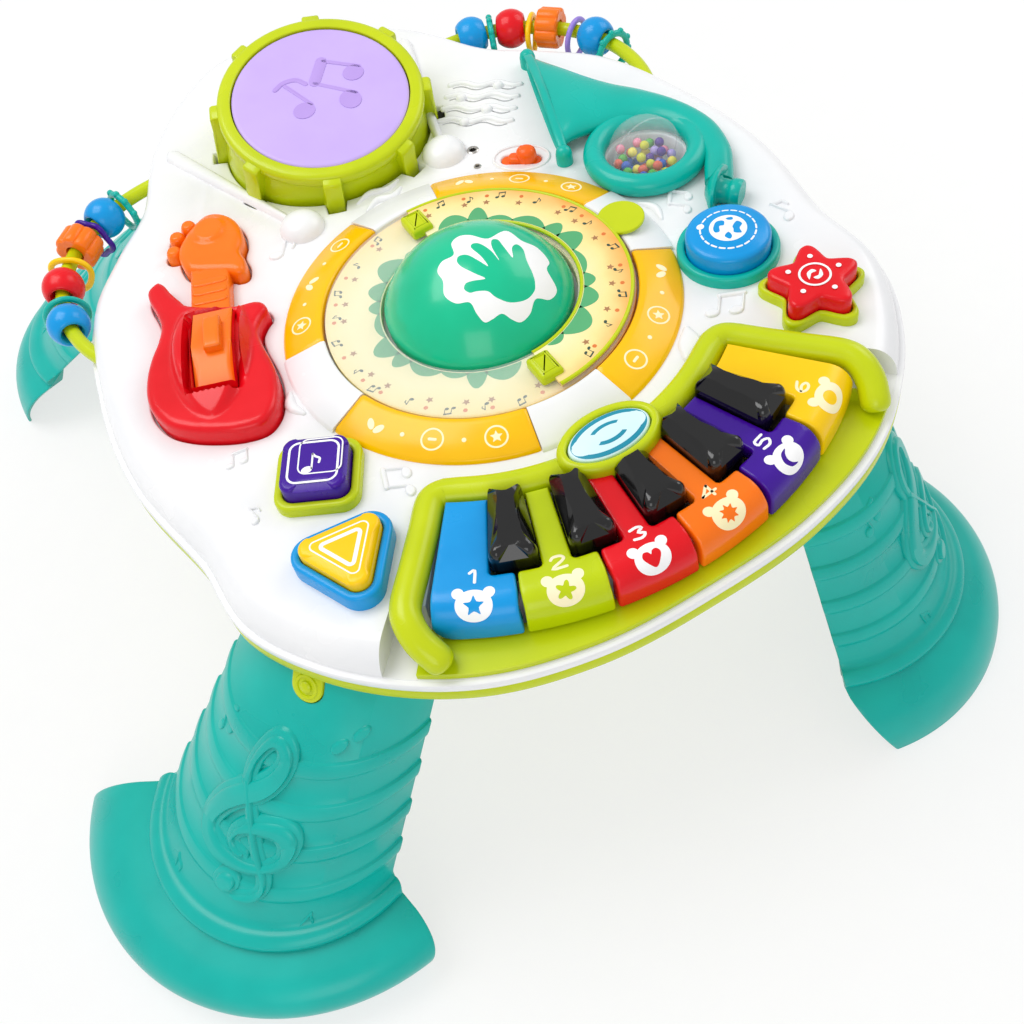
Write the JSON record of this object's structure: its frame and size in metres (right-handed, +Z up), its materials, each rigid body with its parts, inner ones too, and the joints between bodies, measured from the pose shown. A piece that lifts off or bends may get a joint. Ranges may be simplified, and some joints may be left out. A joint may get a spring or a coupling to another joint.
{
  "type": "musical activity table",
  "caption": "Low scalloped play table on splayed half-cone legs, with a drum, horn, guitar, keyboard, press buttons, flip-page disc and bead rails.",
  "frame": {"origin": "on the floor under the middle of the table's bounding box", "axes": "+Z up, the keyboard faces -Y, +X to the right of a child at the keyboard"},
  "size_m": [0.555, 0.645, 0.2468],
  "materials": {
    "white_shell": "gloss white moulded plastic",
    "lime_tray": "satin lime moulded plastic",
    "teal_legs": "satin teal moulded plastic",
    "yellow_covers": "clear yellow covers over lamps",
    "printed_disc": "printed sheet on a plastic disc",
    "clear_cover": "clear plastic",
    "lime_trim": "gloss lime plastic",
    "green_dome": "gloss green plastic with a print",
    "lilac_skin": "satin lilac plastic",
    "teal_horn": "gloss teal plastic",
    "clear_ball": "clear plastic ball with loose coloured beads",
    "red_plastic": "gloss red plastic",
    "orange_plastic": "gloss orange plastic",
    "blue_plastic": "gloss blue plastic",
    "purple_plastic": "gloss purple plastic",
    "yellow_plastic": "gloss yellow plastic",
    "black_plastic": "gloss black plastic",
    "plated_steel": "zinc-plated steel",
    "green_board": "circuit board laminate"
  },
  "bodies": {
    "table": {"top_panel": "white_shell", "base_tray": "lime_tray", "leg_front_left": "teal_legs", "leg_front_right": "teal_legs", "leg_back_left": "teal_legs", "leg_back_right": "teal_legs", "light_covers": "yellow_covers", "picture_disc": "printed_disc", "disc_cover": "clear_cover", "hinge_clips": "lime_trim", "drum_shell": "lime_trim", "horn": "teal_horn", "guitar_body": "red_plastic", "guitar_neck": "orange_plastic", "square_bezel": "lime_trim", "triangle_bezel": "blue_plastic", "round_bezel": "teal_horn", "star_bezel": "lime_trim", "piano_frame": "lime_trim", "black_keys": "black_plastic", "rail_left": "lime_trim", "rail_right": "lime_trim", "battery_door": "lime_trim", "batteries": "plated_steel", "circuit_board": "green_board", "speaker": "black_plastic", "case_screws": "plated_steel"},
    "flip_page": {"flip_page": "printed_disc"},
    "dome_button": {"dome_button": "green_dome"},
    "drum_skin": {"drum_skin": "lilac_skin"},
    "rattle_ball": {"rattle_ball": "clear_ball"},
    "guitar_slider": {"guitar_slider": "orange_plastic"},
    "square_button": {"square_button": "purple_plastic"},
    "triangle_button": {"triangle_button": "yellow_plastic"},
    "round_button": {"round_button": "blue_plastic"},
    "star_button": {"star_button": "red_plastic"},
    "power_knob": {"power_knob": "orange_plastic"},
    "key_1": {"key_1": "blue_plastic"},
    "key_2": {"key_2": "lime_trim"},
    "key_3": {"key_3": "red_plastic"},
    "key_4": {"key_4": "orange_plastic"},
    "key_5": {"key_5": "purple_plastic"},
    "key_6": {"key_6": "yellow_plastic"},
    "mode_button": {"mode_button": "blue_plastic"},
    "bead_l1": {"bead_l1": "teal_horn"},
    "bead_l2": {"bead_l2": "blue_plastic"},
    "bead_l3": {"bead_l3": "purple_plastic"},
    "bead_l4": {"bead_l4": "orange_plastic"},
    "bead_l5": {"bead_l5": "yellow_plastic"},
    "bead_l6": {"bead_l6": "red_plastic"},
    "bead_l7": {"bead_l7": "teal_horn"},
    "bead_l8": {"bead_l8": "blue_plastic"},
    "bead_r1": {"bead_r1": "blue_plastic"},
    "bead_r2": {"bead_r2": "teal_horn"},
    "bead_r3": {"bead_r3": "red_plastic"},
    "bead_r4": {"bead_r4": "yellow_plastic"},
    "bead_r5": {"bead_r5": "orange_plastic"},
    "bead_r6": {"bead_r6": "purple_plastic"},
    "bead_r7": {"bead_r7": "blue_plastic"},
    "bead_r8": {"bead_r8": "teal_horn"}
  },
  "joints": [
    {"name": "dome_button_press", "type": "slide", "parent": "table", "child": "dome_button", "axis": [0, 0, -1], "range_m": [0, 0.002], "stiffness_N_per_m": 600, "springref_m": -0.003},
    {"name": "square_button_press", "type": "slide", "parent": "table", "child": "square_button", "axis": [0, 0, -1], "range_m": [0, 0.002], "stiffness_N_per_m": 600, "springref_m": -0.003},
    {"name": "triangle_button_press", "type": "slide", "parent": "table", "child": "triangle_button", "axis": [0, 0, -1], "range_m": [0, 0.002], "stiffness_N_per_m": 600, "springref_m": -0.003},
    {"name": "round_button_press", "type": "slide", "parent": "table", "child": "round_button", "axis": [0, 0, -1], "range_m": [0, 0.002], "stiffness_N_per_m": 600, "springref_m": -0.003},
    {"name": "star_button_press", "type": "slide", "parent": "table", "child": "star_button", "axis": [0, 0, -1], "range_m": [0, 0.002], "stiffness_N_per_m": 600, "springref_m": -0.003},
    {"name": "mode_button_press", "type": "slide", "parent": "table", "child": "mode_button", "axis": [0, 0, -1], "range_m": [0, 0.002], "stiffness_N_per_m": 600, "springref_m": -0.003},
    {"name": "drum_press", "type": "slide", "parent": "table", "child": "drum_skin", "axis": [0, 0.2419, -0.9703], "range_m": [0, 0.0025], "stiffness_N_per_m": 600, "springref_m": -0.003},
    {"name": "key_1_tip", "type": "hinge", "parent": "table", "child": "key_1", "pos_m": [-0.02948, -0.19608, 0.191], "axis": [0.8594, -0.5113, 0], "range_deg": [0, 2.6], "stiffness_Nm_per_rad": 1.5, "springref_deg": -6.88},
    {"name": "key_2_tip", "type": "hinge", "parent": "table", "child": "key_2", "pos_m": [-0.00396, -0.20777, 0.191], "axis": [0.9486, -0.3165, 0], "range_deg": [0, 2.6], "stiffness_Nm_per_rad": 1.5, "springref_deg": -6.88},
    {"name": "key_3_tip", "type": "hinge", "parent": "table", "child": "key_3", "pos_m": [0.02347, -0.21375, 0.191], "axis": [0.9942, -0.1071, 0], "range_deg": [0, 2.6], "stiffness_Nm_per_rad": 1.5, "springref_deg": -6.88},
    {"name": "key_4_tip", "type": "hinge", "parent": "table", "child": "key_4", "pos_m": [0.05153, -0.21375, 0.191], "axis": [0.9942, 0.1071, 0], "range_deg": [0, 2.6], "stiffness_Nm_per_rad": 1.5, "springref_deg": -6.88},
    {"name": "key_5_tip", "type": "hinge", "parent": "table", "child": "key_5", "pos_m": [0.07896, -0.20777, 0.191], "axis": [0.9486, 0.3165, 0], "range_deg": [0, 2.6], "stiffness_Nm_per_rad": 1.5, "springref_deg": -6.88},
    {"name": "key_6_tip", "type": "hinge", "parent": "table", "child": "key_6", "pos_m": [0.10448, -0.19608, 0.191], "axis": [0.8594, 0.5113, 0], "range_deg": [0, 2.6], "stiffness_Nm_per_rad": 1.5, "springref_deg": -6.88},
    {"name": "page_turn", "type": "hinge", "parent": "table", "child": "flip_page", "pos_m": [0.0375, -0.0835, 0.2102], "axis": [0, -1, 0], "range_deg": [0, 180]},
    {"name": "rattle_spin", "type": "hinge", "parent": "table", "child": "rattle_ball", "pos_m": [0.1644, -0.0439, 0.204], "axis": [0, 1, 0], "continuous": true},
    {"name": "guitar_rock", "type": "hinge", "parent": "table", "child": "guitar_slider", "pos_m": [-0.08924, -0.02999, 0.155], "axis": [0.9291, -0.3697, 0], "range_deg": [-12, 12], "stiffness_Nm_per_rad": 1},
    {"name": "power_slide", "type": "slide", "parent": "table", "child": "power_knob", "axis": [0.788, -0.6157, 0], "range_m": [-0.0045, 0.0045]},
    {"name": "bead_l1_slide", "type": "hinge", "parent": "table", "child": "bead_l1", "pos_m": [-0.0585, 0.0545, 0.189], "axis": [0, 0, -1], "range_deg": [-0.5, 1.6]},
    {"name": "bead_l2_slide", "type": "hinge", "parent": "table", "child": "bead_l2", "pos_m": [-0.0585, 0.0545, 0.189], "axis": [0, 0, -1], "range_deg": [-0.2, 0.5]},
    {"name": "bead_l3_slide", "type": "hinge", "parent": "table", "child": "bead_l3", "pos_m": [-0.0585, 0.0545, 0.189], "axis": [0, 0, -1], "range_deg": [-0.9, 0.2]},
    {"name": "bead_l4_slide", "type": "hinge", "parent": "table", "child": "bead_l4", "pos_m": [-0.0585, 0.0545, 0.189], "axis": [0, 0, -1], "range_deg": [-2.4, 0.9]},
    {"name": "bead_l5_slide", "type": "hinge", "parent": "table", "child": "bead_l5", "pos_m": [-0.0585, 0.0545, 0.189], "axis": [0, 0, -1], "range_deg": [-1.7, 2.4]},
    {"name": "bead_l6_slide", "type": "hinge", "parent": "table", "child": "bead_l6", "pos_m": [-0.0585, 0.0545, 0.189], "axis": [0, 0, -1], "range_deg": [-1.7, 1.7]},
    {"name": "bead_l7_slide", "type": "hinge", "parent": "table", "child": "bead_l7", "pos_m": [-0.0585, 0.0545, 0.189], "axis": [0, 0, -1], "range_deg": [-0.8, 1.7]},
    {"name": "bead_l8_slide", "type": "hinge", "parent": "table", "child": "bead_l8", "pos_m": [-0.0585, 0.0545, 0.189], "axis": [0, 0, -1], "range_deg": [-1.2, 0.8]},
    {"name": "bead_r1_slide", "type": "hinge", "parent": "table", "child": "bead_r1", "pos_m": [0.1335, 0.0545, 0.189], "axis": [0, 0, 1], "range_deg": [-0.2, 0.3]},
    {"name": "bead_r2_slide", "type": "hinge", "parent": "table", "child": "bead_r2", "pos_m": [0.1335, 0.0545, 0.189], "axis": [0, 0, 1], "range_deg": [-0.2, 0.2]},
    {"name": "bead_r3_slide", "type": "hinge", "parent": "table", "child": "bead_r3", "pos_m": [0.1335, 0.0545, 0.189], "axis": [0, 0, 1], "range_deg": [-0.2, 0.2]},
    {"name": "bead_r4_slide", "type": "hinge", "parent": "table", "child": "bead_r4", "pos_m": [0.1335, 0.0545, 0.189], "axis": [0, 0, 1], "range_deg": [-0.9, 0.2]},
    {"name": "bead_r5_slide", "type": "hinge", "parent": "table", "child": "bead_r5", "pos_m": [0.1335, 0.0545, 0.189], "axis": [0, 0, 1], "range_deg": [-2.4, 0.9]},
    {"name": "bead_r6_slide", "type": "hinge", "parent": "table", "child": "bead_r6", "pos_m": [0.1335, 0.0545, 0.189], "axis": [0, 0, 1], "range_deg": [-1, 2.4]},
    {"name": "bead_r7_slide", "type": "hinge", "parent": "table", "child": "bead_r7", "pos_m": [0.1335, 0.0545, 0.189], "axis": [0, 0, 1], "range_deg": [-0.7, 1]},
    {"name": "bead_r8_slide", "type": "hinge", "parent": "table", "child": "bead_r8", "pos_m": [0.1335, 0.0545, 0.189], "axis": [0, 0, 1], "range_deg": [-1.6, 0.7]}
  ]
}
